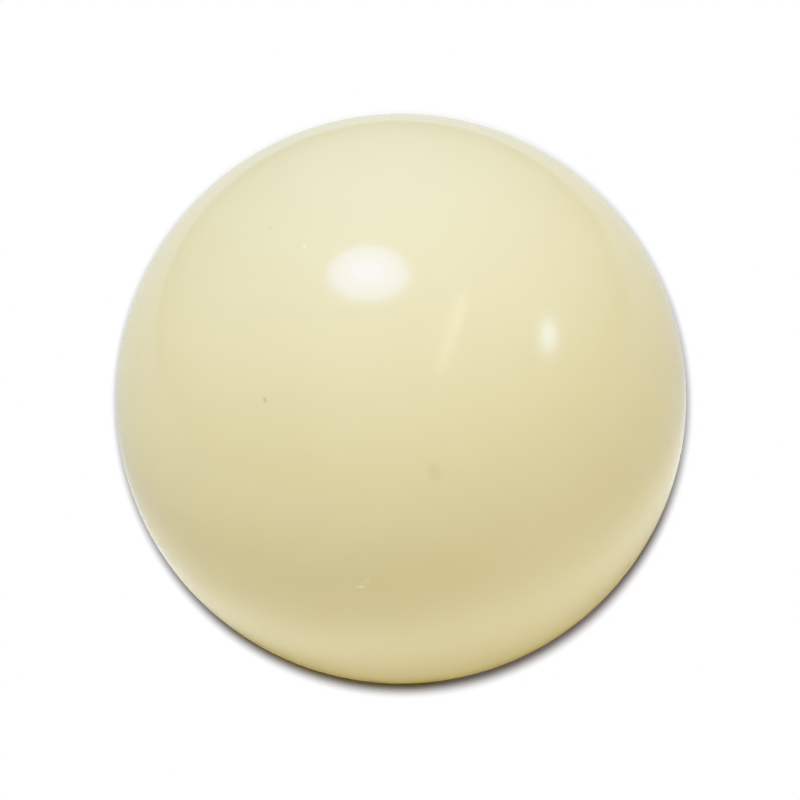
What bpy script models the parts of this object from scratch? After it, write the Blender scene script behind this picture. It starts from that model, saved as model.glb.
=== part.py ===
"""A roulette ball, modelled as the one solid piece that it is.

The real ball is turned or moulded a little oversize from ivory-coloured acetal resin, and is then
rolled about every axis between two lapping plates until it is round. So it has no seam, no pole, no
flat and nothing inside, and its one driving size is its diameter.

Units are metres and +Z is up. The origin is the ball's centre, which is also its centre of mass.
"""

import bmesh
import bpy

# Driving dimensions
BALL_DIAMETER = 0.01905  # three quarters of an inch, a standard size for casino wheels
ROUNDNESS = 0.000025  # how far the surface may lie inside the true sphere, as a lapped ball may

# Finish
IVORY = (0.80, 0.73, 0.48, 1.0)  # linear red, green, blue and alpha
POLISHED_ROUGHNESS = 0.12
RESIN_IOR = 1.48

# How finely the ball may be faceted, where each level has four times the facets of the one before
COARSEST_LEVEL = 1
FINEST_LEVEL = 8


def clear_scene():
    """Removes whatever objects the file opened with."""
    for thing in list(bpy.data.objects):
        bpy.data.objects.remove(thing, do_unlink=True)


def ivory_resin():
    """The material of a resin ball that is coloured all through and polished to a gloss."""
    material = bpy.data.materials.new("ivory_resin")
    material.use_nodes = True
    shader = material.node_tree.nodes["Principled BSDF"]
    shader.inputs["Base Color"].default_value = IVORY
    shader.inputs["Roughness"].default_value = POLISHED_ROUGHNESS
    shader.inputs["Metallic"].default_value = 0.0
    shader.inputs["IOR"].default_value = RESIN_IOR
    material.diffuse_color = IVORY
    return material


def facet_depth(shape, radius):
    """How far the middle of the deepest flat facet lies inside the true sphere."""
    nearest = min(facet.calc_center_median().length for facet in shape.faces)
    return radius - nearest


def round_shape(radius, tolerance):
    """The coarsest evenly faceted ball of this radius that is round to within the tolerance.

    It starts as an icosahedron, whose corners lie on the sphere. Each level splits every facet into
    four and puts the new corners on the sphere too, so the facets stay alike all over the ball.
    """
    for level in range(COARSEST_LEVEL, FINEST_LEVEL + 1):
        shape = bmesh.new()
        bmesh.ops.create_icosphere(shape, subdivisions=level, radius=radius)
        if facet_depth(shape, radius) <= tolerance:
            return shape
        shape.free()
    raise ValueError("the roundness asked for needs finer facets than FINEST_LEVEL gives")


def make_ball():
    """The ball, with its origin at its centre."""
    shape = round_shape(BALL_DIAMETER / 2, ROUNDNESS)
    mesh = bpy.data.meshes.new("ball")
    shape.to_mesh(mesh)
    shape.free()
    mesh.shade_smooth()
    mesh.materials.append(ivory_resin())
    ball = bpy.data.objects.new("ball", mesh)
    bpy.context.scene.collection.objects.link(ball)
    return ball


def main():
    clear_scene()
    make_ball()


main()
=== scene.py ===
"""The looks of a roulette ball: its lapped surface with marks of play, its ivory resin and a plain studio.

Everything is in metres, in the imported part's own frame: the ball's centre is the origin and +Z is up.
"""

import math

import bpy
import numpy as np
from mathutils import Matrix, Vector


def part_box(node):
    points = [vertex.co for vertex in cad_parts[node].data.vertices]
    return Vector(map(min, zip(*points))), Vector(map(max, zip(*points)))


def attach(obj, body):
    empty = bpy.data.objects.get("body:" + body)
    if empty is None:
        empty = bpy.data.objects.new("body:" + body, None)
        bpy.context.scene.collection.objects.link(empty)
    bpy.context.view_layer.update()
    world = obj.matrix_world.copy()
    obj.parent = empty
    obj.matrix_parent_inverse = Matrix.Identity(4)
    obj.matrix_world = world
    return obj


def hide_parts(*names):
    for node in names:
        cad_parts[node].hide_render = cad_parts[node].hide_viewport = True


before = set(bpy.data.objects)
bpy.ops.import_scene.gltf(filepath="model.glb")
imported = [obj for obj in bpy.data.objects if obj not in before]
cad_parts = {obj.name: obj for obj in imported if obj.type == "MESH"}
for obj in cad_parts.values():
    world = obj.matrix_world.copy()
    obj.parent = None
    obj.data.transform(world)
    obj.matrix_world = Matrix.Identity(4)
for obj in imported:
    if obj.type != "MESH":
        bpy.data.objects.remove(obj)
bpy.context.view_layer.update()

scene = bpy.context.scene
scene.view_settings.view_transform = "Standard"

# The view. The photograph looks down on the ball from the front, with the camera turned a little clockwise.
# In the ball's gloss the room's horizon is a thin dark ring, whose place gives both angles.
FRAME_SIDE = 800.0  # pixels
OUTLINE_CENTRE = np.array([401.0, 398.5])  # pixels from the frame's left and top edges
OUTLINE_RADIUS = 285.1  # pixels
VIEW_ELEVATION = math.radians(36.5)
VIEW_ROLL = math.radians(-7.0)
LENS_LENGTH = 150.0  # millimetres, on a sensor of the next width
SENSOR_WIDTH = 36.0  # millimetres

ball_low, ball_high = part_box("ball")
ball_radius = (ball_high.z - ball_low.z) / 2
to_camera = np.array([0.0, -math.cos(VIEW_ELEVATION), math.sin(VIEW_ELEVATION)])
level_right = np.array([1.0, 0.0, 0.0])
level_up = np.cross(to_camera, level_right)
view_right = math.cos(VIEW_ROLL) * level_right + math.sin(VIEW_ROLL) * level_up
view_up = np.cross(to_camera, view_right)
pixels_per_slope = LENS_LENGTH / SENSOR_WIDTH * FRAME_SIDE
camera_distance = ball_radius * math.hypot(1.0, pixels_per_slope / OUTLINE_RADIUS)

camera = bpy.data.objects.new("camera", bpy.data.cameras.new("camera"))
scene.collection.objects.link(camera)
scene.camera = camera
camera.data.lens = LENS_LENGTH
camera.data.sensor_width = SENSOR_WIDTH
camera.data.shift_x = (FRAME_SIDE / 2 - OUTLINE_CENTRE[0]) / FRAME_SIDE
camera.data.shift_y = (OUTLINE_CENTRE[1] - FRAME_SIDE / 2) / FRAME_SIDE
camera.data.clip_start = ball_radius
camera.location = Vector(to_camera * camera_distance)
camera.rotation_euler = Matrix(np.stack([view_right, view_up, to_camera], axis=1).tolist()).to_euler()


# The ball: one piece of ivory-coloured acetal resin, turned or moulded oversize and rolled between lapping
# plates until it is round, then polished. Falling into pockets leaves shallow dents and a few fine nicks.
CELLS = 128  # squares along each edge of the cube that is blown up into the ball
DENT_COUNT = 70
DENT_WIDTH = (0.00025, 0.0008)  # from a dent's middle to where it is about a third as deep
DENT_DEPTH = (0.0000004, 0.000002)
DENT_SEED = 37


def cube_grid(cells):
    """The corners and squares of a cube's surface, as whole numbers of cells along the three axes.

    Each of the six faces is a grid in two parameters that run from 0 to cells. The third number is 0 or
    cells. A corner that two or three faces share has the same three numbers on each, so it is kept once
    and the seams are closed. The squares are listed so that they face outwards.
    """
    first, second = np.meshgrid(np.arange(cells + 1), np.arange(cells + 1), indexing="ij")
    faces = np.empty((3, 2, cells + 1, cells + 1, 3), int)
    for axis in range(3):
        for far in range(2):
            faces[axis, far, ..., axis] = cells * far
            faces[axis, far, ..., (axis + 1) % 3] = first if far else second
            faces[axis, far, ..., (axis + 2) % 3] = second if far else first
    corners, number = np.unique(faces.reshape(-1, 3), axis=0, return_inverse=True)
    number = number.reshape(6, cells + 1, cells + 1)
    around = (number[:, :-1, :-1], number[:, 1:, :-1], number[:, 1:, 1:], number[:, :-1, 1:])
    return corners, np.stack(around, axis=-1).reshape(-1, 4)


def ball_directions(corners, cells):
    """Unit vectors from the ball's centre through the cube's corners.

    A corner's number along an axis becomes the tangent of an angle from -45 to 45 degrees, which makes
    the squares nearly alike in size all over the ball. The vector is then divided by its length.
    """
    tangents = np.tan((2.0 * corners / cells - 1.0) * (math.pi / 4))
    return tangents / np.linalg.norm(tangents, axis=1, keepdims=True)


def dent_relief(directions, radius):
    """How far the surface lies below the true ball: the sum of bell-shaped dents at seeded places.

    A dent's depth falls off as the exponential of minus the square of the distance over its width.
    """
    draw = np.random.default_rng(DENT_SEED)
    middles = draw.normal(size=(DENT_COUNT, 3))
    middles /= np.linalg.norm(middles, axis=1, keepdims=True)
    widths = draw.uniform(*DENT_WIDTH, DENT_COUNT)
    depths = draw.uniform(*DENT_DEPTH, DENT_COUNT)
    squared_distance = 2.0 * radius**2 * (1.0 - directions @ middles.T)
    return np.exp(-squared_distance / widths**2) @ depths


corners, squares = cube_grid(CELLS)
directions = ball_directions(corners, CELLS)
surface = directions * (ball_radius - dent_relief(directions, ball_radius))[:, None]
ball_mesh = bpy.data.meshes.new("ivory_ball")
ball_mesh.from_pydata(surface, [], squares)
ball_mesh.shade_smooth()
ball = bpy.data.objects.new("ivory_ball", ball_mesh)
scene.collection.objects.link(ball)

# The resin is coloured all through, very faintly clouded, and hazed here and there by handling. Each of the
# three cloudy effects has a size and a detail, which is how many finer sizes are added to it.
IVORY_PALE = (0.806, 0.738, 0.490, 1.0)
IVORY_DEEP = (0.794, 0.722, 0.470, 1.0)
CLOUDS = (0.005, 3.0)
GLOSS_ROUGHNESS = (0.105, 0.130)  # where the polish is best, and where it is hazed
HAZE = (0.0018, 4.0)
RESIN_IOR = 1.48
LAPPING = (0.00035, 2.0)  # the fine ripple that lapping leaves
LAPPING_DEPTH = 0.3  # micrometres
MICROMETRE = 0.000001
NOISE_RANGE = (0.3, 0.7)  # where nearly all of a noise's values lie

# The kinds of mark. Each has a colour, a roughness and a depth in micrometres.
PIT = ((0.40, 0.33, 0.03, 1.0), 0.40, 3.0)  # holds a little dirt
SCUFF_AND_GLINT = ((0.98, 0.90, 0.64, 1.0), 0.30, 2.0)  # whitens the resin, and its colour partly paints a glint
NICK_AND_GLINT = ((0.99, 0.95, 0.74, 1.0), 0.24, 2.0)  # whitens it more, and its paleness partly paints the light that its lip catches
GREASE = ((0.63, 0.46, 0.26, 1.0), 0.18, 0.0)

# The marks that show. A mark runs from one pixel of the photograph to another, and its half width and its
# soft edge are in pixels too. It covers the polished ivory by the last number.
SEEN_MARKS = (
    ((264.6, 399.2), (265.3, 400.8), 0.3, 2.4, PIT, 0.38),
    ((270.4, 228.0), (270.6, 229.8), 0.6, 1.8, PIT, 0.11),
    ((272.0, 233.8), (272.2, 235.2), 0.5, 1.4, PIT, 0.07),
    ((272.5, 229.5), (275.8, 234.2), 0.4, 1.4, SCUFF_AND_GLINT, 0.09),
    ((304.4, 244.7), (304.5, 246.4), 0.4, 1.9, SCUFF_AND_GLINT, 0.36),
    ((304.5, 247.2), (304.3, 250.4), 0.3, 1.4, SCUFF_AND_GLINT, 0.15),
    ((356.4, 586.9), (364.2, 586.6), 0.3, 1.6, NICK_AND_GLINT, 0.38),
    ((359.6, 586.9), (362.6, 586.7), 0.5, 1.7, NICK_AND_GLINT, 0.66),
    ((367.9, 580.0), (368.4, 581.6), 0.4, 1.7, NICK_AND_GLINT, 0.38),
    ((361.5, 583.6), (366.8, 582.8), 0.3, 1.5, NICK_AND_GLINT, 0.22),
    ((434.5, 471.5), (435.0, 474.5), 0.5, 9.0, GREASE, 0.21),
    ((431.2, 464.5), (432.6, 467.0), 0.5, 6.0, GREASE, 0.06),
)

# The marks that the photograph can't show, on the far side and underneath, are like those in kind and size.
FAR_MARK_COUNT = 14
FAR_MARK_LENGTH = (0.00005, 0.0004)
FAR_MARK_HALF_WIDTH = 0.000012
FAR_MARK_SOFT_EDGE = (0.00005, 0.00009)
FAR_MARK_COVER = (0.15, 0.60)
FAR_MARK_SEED = 11
PIT_SHARE = 0.5  # of these marks. The others are scuffs, whose colour partly paints a glint


def add_node(tree, kind, inputs=None, **settings):
    """Adds a node, gives it its settings, and links or sets each input that is named or numbered."""
    made = tree.nodes.new(kind)
    for name, value in settings.items():
        setattr(made, name, value)
    for name, value in (inputs or {}).items():
        if isinstance(value, bpy.types.NodeSocket):
            tree.links.new(value, made.inputs[name])
        else:
            made.inputs[name].default_value = value
    return made


def calculate(tree, operation, *values):
    """The result of one operation on numbers."""
    return add_node(tree, "ShaderNodeMath", dict(enumerate(values)), operation=operation).outputs[0]


def combine(tree, operation, *vectors):
    """The result of one operation on vectors, which is a number for a dot product or a length."""
    made = add_node(tree, "ShaderNodeVectorMath", dict(enumerate(vectors)), operation=operation)
    return made.outputs["Value" if operation in ("DOT_PRODUCT", "LENGTH") else "Vector"]


def stretch(tree, vector, times):
    """A vector made this many times as long."""
    inputs = {"Vector": vector, "Scale": times}
    return add_node(tree, "ShaderNodeVectorMath", inputs, operation="SCALE").outputs["Vector"]


def fade(tree, value, edge, start=0.0, end=1.0, way="SMOOTHSTEP"):
    """A value that goes from start to end while the given one goes from the first edge to the second."""
    inputs = {"Value": value, "From Min": edge[0], "From Max": edge[1], "To Min": start, "To Max": end}
    return add_node(tree, "ShaderNodeMapRange", inputs, interpolation_type=way).outputs[0]


def mix_colours(tree, share, first, second):
    """The first colour where the share is 0 and the second where it is 1.

    The colours of a mix node are its inputs 6 and 7 and its output 2.
    """
    return add_node(tree, "ShaderNodeMix", {0: share, 6: first, 7: second}, data_type="RGBA").outputs[2]


def cloudy(tree, place, size, detail, low, high):
    """A value that runs from low to high in clouds of about this size."""
    inputs = {"Vector": place, "Scale": 1.0 / size, "Detail": detail}
    noise = add_node(tree, "ShaderNodeTexNoise", inputs).outputs[0]
    return fade(tree, noise, NOISE_RANGE, low, high, "LINEAR")


def pixel_ray(x, y):
    """The way from the eye through this pixel of the photograph, as long as it takes to go 1 forwards."""
    across = (x - OUTLINE_CENTRE[0]) / pixels_per_slope
    upward = (OUTLINE_CENTRE[1] - y) / pixels_per_slope
    return across * view_right + upward * view_up - to_camera


def ball_point(x, y):
    """The point of the ball that the photograph shows at this pixel: where the pixel's ray meets it."""
    ray = pixel_ray(x, y)
    ray /= np.linalg.norm(ray)
    along = camera_distance * (to_camera @ ray)
    reach = -along - math.sqrt(along**2 - camera_distance**2 + ball_radius**2)
    return to_camera * camera_distance + ray * reach


def far_marks():
    """Pits and scuffs at seeded places on the side that the photograph can't show, from end to end."""
    draw = np.random.default_rng(FAR_MARK_SEED)
    made = []
    while len(made) < FAR_MARK_COUNT:
        outward, across = draw.normal(size=(2, 3))
        outward /= np.linalg.norm(outward)
        half_way = np.cross(outward, across)
        half_way *= draw.uniform(*FAR_MARK_LENGTH) / 2 / np.linalg.norm(half_way)
        soft_edge = draw.uniform(*FAR_MARK_SOFT_EDGE)
        cover = draw.uniform(*FAR_MARK_COVER)
        kind = PIT if draw.random() < PIT_SHARE else SCUFF_AND_GLINT
        middle = outward * ball_radius
        if outward @ to_camera < 0.0:
            made.append((middle - half_way, middle + half_way, FAR_MARK_HALF_WIDTH, soft_edge, kind, cover))
    return made


def mark_group():
    """A node group whose mask is 1 on a straight mark and fades to 0 over its soft edge.

    The distance is taken to the nearest point of the line from one end of the mark to the other.
    """
    group = bpy.data.node_groups.new("mark", "ShaderNodeTree")
    for name in ("Place", "Middle", "Along"):
        group.interface.new_socket(name, in_out="INPUT", socket_type="NodeSocketVector")
    for name in ("Half Length", "Half Width", "Soft Edge"):
        group.interface.new_socket(name, in_out="INPUT", socket_type="NodeSocketFloat")
    group.interface.new_socket("Mask", in_out="OUTPUT", socket_type="NodeSocketFloat")
    given = add_node(group, "NodeGroupInput").outputs
    from_middle = combine(group, "SUBTRACT", given["Place"], given["Middle"])
    along = combine(group, "DOT_PRODUCT", from_middle, given["Along"])
    other_end = calculate(group, "MULTIPLY", given["Half Length"], -1.0)
    limits = {"Value": along, "Min": other_end, "Max": given["Half Length"]}
    held = add_node(group, "ShaderNodeClamp", limits).outputs[0]
    nearest = stretch(group, given["Along"], held)
    distance = combine(group, "LENGTH", combine(group, "SUBTRACT", from_middle, nearest))
    rim = calculate(group, "ADD", given["Half Width"], given["Soft Edge"])
    add_node(group, "NodeGroupOutput", {"Mask": fade(group, distance, (given["Half Width"], rim), 1.0, 0.0)})
    return group


ivory_resin = bpy.data.materials.new("ivory_resin")
ivory_resin.use_nodes = True
nodes = ivory_resin.node_tree
resin = nodes.nodes["Principled BSDF"]
resin.inputs["IOR"].default_value = RESIN_IOR
place = add_node(nodes, "ShaderNodeTexCoord").outputs["Object"]
ivory = mix_colours(nodes, cloudy(nodes, place, *CLOUDS, 0.0, 1.0), IVORY_PALE, IVORY_DEEP)
rough = cloudy(nodes, place, *HAZE, *GLOSS_ROUGHNESS)
height = cloudy(nodes, place, *LAPPING, 0.0, LAPPING_DEPTH)

pixel_size = ball_radius / OUTLINE_RADIUS
marks = [
    (ball_point(*start), ball_point(*end), half_width * pixel_size, soft_edge * pixel_size, kind, cover)
    for start, end, half_width, soft_edge, kind, cover in SEEN_MARKS
] + far_marks()
mark = mark_group()
for first, last, half_width, soft_edge, (colour, mark_roughness, depth), cover in marks:
    length = np.linalg.norm(last - first)
    shape = {
        "Place": place,
        "Middle": (first + last) / 2,
        "Along": (last - first) / length,
        "Half Length": length / 2,
        "Half Width": half_width,
        "Soft Edge": soft_edge,
    }
    mask = add_node(nodes, "ShaderNodeGroup", shape, node_tree=mark).outputs["Mask"]
    share = calculate(nodes, "MULTIPLY", mask, cover)
    ivory = mix_colours(nodes, share, ivory, colour)
    rough = add_node(nodes, "ShaderNodeMix", {"Factor": share, "A": rough, "B": mark_roughness}).outputs[0]
    if depth:
        height = calculate(nodes, "MULTIPLY_ADD", share, -depth, height)

bump = add_node(nodes, "ShaderNodeBump", {"Height": height, "Distance": MICROMETRE})
nodes.links.new(ivory, resin.inputs["Base Color"])
nodes.links.new(rough, resin.inputs["Roughness"])
nodes.links.new(bump.outputs[0], resin.inputs["Normal"])
ball_mesh.materials.append(ivory_resin)

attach(ball, "root")
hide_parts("ball")


# The floor: a matt white paper sheet laid flat, on which the ball stands by one point. The camera sees it
# burnt out to plain white, except in a painted shadow that hugs the ball, on which the lamps' shadow also
# falls. Round the ball's foot the sheet is painted warm, as painted light for what comes off the ivory, with
# a painted shadow right under the foot. Distances on the sheet are in ball radii, from the foot unless they
# say.
FLOOR_SIDE = 0.4  # metres
WHITE = (1.0, 1.0, 1.0, 1.0)
FLOOR_COLOUR = (0.98, 0.945, 0.86, 1.0)
PAINTED_SHADOW_COLOUR = (0.21, 0.187, 0.183, 1.0)  # painted shadow: the sheet's dark colour inside the ellipses, and right under the foot
PAINTED_FOOT_SHADOW_COLOUR = (0.42, 0.40, 0.76, 1.0)  # painted shadow by the foot, made cool against the warm light there
PAINTED_FOOT_SHADOW_EDGE = (0.45, 1.0)  # where the one colour of the painted shadow goes over into the other
PAINTED_SHADOW_INSIDE = ((0.002, 1.580, 0.0), (1.146, 1.965, 1.0))  # middle and half sizes of the ellipse inside which the painted shadow is at its full
PAINTED_SHADOW_OUTSIDE = ((0.003, 1.557, 0.0), (1.182, 2.023, 1.0))  # the ellipse at which the painted shadow has faded out
PAINTED_SHADOW_END = (0.4, 4.0)  # where the painted shadow starts and ends paling away
PAINTED_SPILL_LIGHT_COLOUR = (0.93, 0.80, 0.18, 1.0)  # painted light: a warm colour on the sheet round the foot, as the ball sees it, for light off the ivory
PAINTED_SPILL_EDGE = (0.3, 0.5)  # where that painted light begins and is full, after the painted shadow right under the foot
# where the painted warm light has given way to the white sheet
PAINTED_SPILL_END = 0.85
MIRRORED_EDGE = (1.15, 2.2)  # where the sheet starts and ends burning out in the ball's gloss
NEAR_IN_GLOSS = (0.68, 0.72, 0.75, 1.0)  # what the burnt-out sheet is in the gloss, near the ball
FAR_IN_GLOSS = (0.82, 0.84, 0.80, 1.0)
FAR_EDGE = (1.6, 4.0)  # where the one goes over into the other

half_side = FLOOR_SIDE / 2
floor_corners = [
    (-half_side, -half_side, ball_low.z),
    (half_side, -half_side, ball_low.z),
    (half_side, half_side, ball_low.z),
    (-half_side, half_side, ball_low.z),
]
floor_mesh = bpy.data.meshes.new("floor")
floor_mesh.from_pydata(floor_corners, [], [(0, 1, 2, 3)])
floor = bpy.data.objects.new("floor", floor_mesh)
scene.collection.objects.link(floor)


def seen_rays(tree):
    """Two values: 1 for the camera's own rays and else 0, and 1 for rays in gloss or glass and else 0."""
    path = add_node(tree, "ShaderNodeLightPath").outputs
    mirrored = calculate(tree, "MAXIMUM", path["Is Glossy Ray"], path["Is Transmission Ray"])
    return path["Is Camera Ray"], mirrored


def reach_from(tree, place, middle, size):
    """How far a place is from an ellipse's middle, where the ellipse itself is at 1."""
    moved = combine(tree, "SUBTRACT", place, middle)
    return combine(tree, "LENGTH", combine(tree, "DIVIDE", moved, size))


def between(tree, place, inner, outer):
    """How far a place is from the inner ellipse towards the outer: 0 on the one and 1 on the other.

    It is how far the place is past the inner ellipse, divided by how much less far out it is when it is
    measured by the outer one.
    """
    inner_reach = reach_from(tree, place, *inner)
    outer_reach = reach_from(tree, place, *outer)
    past = calculate(tree, "MAXIMUM", calculate(tree, "SUBTRACT", inner_reach, 1.0), 0.0)
    return calculate(tree, "DIVIDE", past, calculate(tree, "SUBTRACT", inner_reach, outer_reach))


white_sheet = bpy.data.materials.new("white_sheet")
white_sheet.use_nodes = True
sheet = white_sheet.node_tree
sheet.nodes.clear()
place = add_node(sheet, "ShaderNodeTexCoord").outputs["Object"]
above_foot = combine(sheet, "SUBTRACT", place, (0.0, 0.0, ball_low.z))
in_radii = stretch(sheet, above_foot, 1.0 / ball_radius)
from_foot = combine(sheet, "LENGTH", in_radii)
camera_ray, mirrored_ray = seen_rays(sheet)
# The camera sees a painted shadow: a dark colour inside two ellipses round the foot, paling with the
# distance from it, and white beyond them. The lamps' own shadow falls on it too.
painted_shadow_paling = fade(sheet, from_foot, PAINTED_SHADOW_END)
outside_painted_shadow = fade(sheet, between(sheet, in_radii, PAINTED_SHADOW_INSIDE, PAINTED_SHADOW_OUTSIDE), (0.0, 1.0), painted_shadow_paling)
burnt_seen = calculate(sheet, "MULTIPLY", outside_painted_shadow, camera_ray)
burnt_in_gloss = fade(sheet, from_foot, MIRRORED_EDGE)
burnt = calculate(sheet, "MULTIPLY_ADD", burnt_in_gloss, mirrored_ray, burnt_seen)
in_gloss = mix_colours(sheet, fade(sheet, from_foot, FAR_EDGE), NEAR_IN_GLOSS, FAR_IN_GLOSS)
shown = mix_colours(sheet, camera_ray, in_gloss, WHITE)
lit = calculate(sheet, "MAXIMUM", camera_ray, mirrored_ray)
# Other rays see painted light round the foot: a dark colour right under it as painted shadow, then a warm
# colour for the light off the ivory, then the white sheet.
painted_shadow_and_spill = mix_colours(sheet, fade(sheet, from_foot, PAINTED_SPILL_EDGE), PAINTED_SHADOW_COLOUR, PAINTED_SPILL_LIGHT_COLOUR)
past_painted_spill = fade(sheet, from_foot, (PAINTED_SPILL_EDGE[1], PAINTED_SPILL_END))
sheet_with_painted_spill = mix_colours(sheet, past_painted_spill, painted_shadow_and_spill, FLOOR_COLOUR)
painted_shadow_colour = mix_colours(sheet, fade(sheet, from_foot, PAINTED_FOOT_SHADOW_EDGE), PAINTED_FOOT_SHADOW_COLOUR, PAINTED_SHADOW_COLOUR)
matt_colour_with_painted_light = mix_colours(sheet, camera_ray, sheet_with_painted_spill, painted_shadow_colour)
matt = add_node(sheet, "ShaderNodeBsdfDiffuse", {"Color": matt_colour_with_painted_light}).outputs[0]
white = add_node(sheet, "ShaderNodeEmission", {"Color": shown, "Strength": lit}).outputs[0]
mixed = add_node(sheet, "ShaderNodeMixShader", {0: burnt, 1: matt, 2: white}).outputs[0]
add_node(sheet, "ShaderNodeOutputMaterial", {"Surface": mixed})
white_sheet.cycles.emission_sampling = "NONE"  # it shows but isn't a lamp
floor_mesh.materials.append(white_sheet)


# The studio light: a cool softbox overhead, a small cool lamp lower on the right, a ceiling strip, and a
# warm glow from all round. Each lamp lies where its reflection in the photograph says, at the next distance.
# The gloss shows the softbox and the small lamp by their glare, a soft-edged face that lights nothing else.
LAMP_DISTANCE = 0.3
GLARE_STEP = 0.004  # how far behind a lamp its glare stands
SOFTBOX = ((328.5, 276.7), (409.5, 276.7), (369.0, 249.0), (369.0, 304.5))  # left, right, top, bottom pixel
SIDE_LAMP = ((537.8, 337.0), (554.6, 337.0), (546.3, 321.0), (546.3, 353.0))
CEILING_STRIP = ((446.3, 332.3), (456.3, 335.7), (463.0, 295.5), (438.0, 372.0))
SOFTBOX_LIGHT = (15.9, 17.6, 21.9)  # where the white sheet is 1
SIDE_LIGHT = (18.6, 19.3, 24.8)
SOFTBOX_GLARE = (1.6, 2.15, 6.0)
SOFTBOX_EDGE = (0.8, 1.0)  # where its glare starts and ends fading, as a share of its half width
SOFTBOX_CORE = 0.56  # how much brighter its middle is
SOFTBOX_SHARE = 1.1  # how much larger the glare is than the lamp, to have room for its soft rim
SIDE_GLARE = (2.2, 3.8, 6.6)
SIDE_EDGE = (0.0, 1.0)
SIDE_CORE = 0.25
SIDE_SHARE = 2.0
CORE_EDGE = (0.1, 0.55)
FACE_MIDDLE = (0.5, 0.5, 0.0)  # of a lamp's face, which runs from 0 to 1 both ways
FACE_HALF_SIZE = (0.5, 0.5, 1.0)
STRIP_GLARE = (1.75, 1.65, 1.7)
WARM_GLOW = (0.96, 0.77, 0.06, 1.0)
GLOW_TOP = 0.7  # the sine of the elevation at which the glow has ended
GLOW_LEAN = (0.09, -0.18, 0.0)  # how much stronger the glow is from the right and from the front
LOW_IN_GLOSS = (0.57, 0.54, 0.29, 1.0)  # what the white room is in the ball's gloss, by the floor
HIGH_IN_GLOSS = (0.64, 0.59, 0.33, 1.0)
HIGH_EDGE = (0.0, 0.16)  # sines of the elevations between which it changes


def mirrored_from(x, y):
    """The direction of what the ball mirrors at this pixel: its ray, turned about the surface there."""
    point = ball_point(x, y)
    normal = point / ball_radius
    ray = point - to_camera * camera_distance
    ray /= np.linalg.norm(ray)
    return ray - 2.0 * (ray @ normal) * normal


def area_lamp(name, reflection, brightness, distance, share=1.0, shape="ELLIPSE"):
    """Adds an area lamp whose face is as wide and high as its reflection says, times a share.

    The two spans of the reflection, carried out to the lamp, are the columns of a matrix. The directions
    and lengths of the face's longest and shortest axes are that matrix's singular vectors and values.
    """
    left, right, top, bottom = [distance * mirrored_from(*pixel) for pixel in reflection]
    middle = (left + right + top + bottom) / 4
    axes, sizes, _ = np.linalg.svd(np.stack([right - left, top - bottom], axis=1), full_matrices=False)
    facing = np.cross(axes[:, 0], axes[:, 1])
    turned = np.stack([axes[:, 0], axes[:, 1], facing], axis=1)
    if facing @ middle < 0:
        turned[:, 1:] *= -1.0
    width, height = sizes * share
    light = bpy.data.lights.new(name, "AREA")
    light.shape = shape
    light.size = width
    light.size_y = height
    area = width * height * (math.pi / 4 if shape == "ELLIPSE" else 1.0)
    light.color = np.array(brightness) / max(brightness)
    light.energy = max(brightness) * math.pi * area
    lamp = bpy.data.objects.new(name, light)
    lamp.location = Vector(middle)
    lamp.rotation_euler = Matrix(turned.tolist()).to_euler()
    lamp.visible_camera = False
    scene.collection.objects.link(lamp)
    return lamp


def add_glare(name, reflection, brightness, edge, core, share):
    """Adds what the gloss shows of a lamp: a face that is brightest in its middle and fades to its rim."""
    lamp = area_lamp(name, reflection, brightness, LAMP_DISTANCE + GLARE_STEP, share)
    lamp.visible_diffuse = False
    lamp.data.use_nodes = True
    face = lamp.data.node_tree
    across = add_node(face, "ShaderNodeNewGeometry").outputs["Parametric"]
    reach = reach_from(face, across, FACE_MIDDLE, FACE_HALF_SIZE)
    middle = fade(face, reach, CORE_EDGE, 1.0 + core, 1.0)
    strength = calculate(face, "MULTIPLY", middle, fade(face, reach, edge, 1.0, 0.0))
    face.links.new(strength, face.nodes["Emission"].inputs["Strength"])


softbox = area_lamp("softbox", SOFTBOX, SOFTBOX_LIGHT, LAMP_DISTANCE)
side_lamp = area_lamp("side_lamp", SIDE_LAMP, SIDE_LIGHT, LAMP_DISTANCE)
for lamp in (softbox, side_lamp):
    lamp.visible_glossy = False
add_glare("softbox_glare", SOFTBOX, SOFTBOX_GLARE, SOFTBOX_EDGE, SOFTBOX_CORE, SOFTBOX_SHARE)
add_glare("side_glare", SIDE_LAMP, SIDE_GLARE, SIDE_EDGE, SIDE_CORE, SIDE_SHARE)
strip = area_lamp("ceiling_strip", CEILING_STRIP, STRIP_GLARE, LAMP_DISTANCE, 1.0, "RECTANGLE")
strip.visible_diffuse = False

world = bpy.data.worlds.new("pale_room")
scene.world = world
world.use_nodes = True
room = world.node_tree
room.nodes.clear()
toward = add_node(room, "ShaderNodeTexCoord").outputs["Generated"]
rise = add_node(room, "ShaderNodeSeparateXYZ", {0: toward}).outputs["Z"]
low = fade(room, rise, (0.0, GLOW_TOP), 1.0, 0.0, "LINEAR")
leaning = calculate(room, "ADD", combine(room, "DOT_PRODUCT", toward, GLOW_LEAN), 1.0)
level = calculate(room, "MULTIPLY", low, leaning)
glow = add_node(room, "ShaderNodeBackground", {"Color": WARM_GLOW, "Strength": level}).outputs[0]
camera_ray, mirrored_ray = seen_rays(room)
seen = calculate(room, "MAXIMUM", camera_ray, mirrored_ray)
wall_in_gloss = mix_colours(room, fade(room, rise, HIGH_EDGE), LOW_IN_GLOSS, HIGH_IN_GLOSS)
wall_colour = mix_colours(room, camera_ray, wall_in_gloss, WHITE)
walls = add_node(room, "ShaderNodeBackground", {"Color": wall_colour}).outputs[0]
either = add_node(room, "ShaderNodeMixShader", {0: seen, 1: glow, 2: walls}).outputs[0]
add_node(room, "ShaderNodeOutputWorld", {"Surface": either})
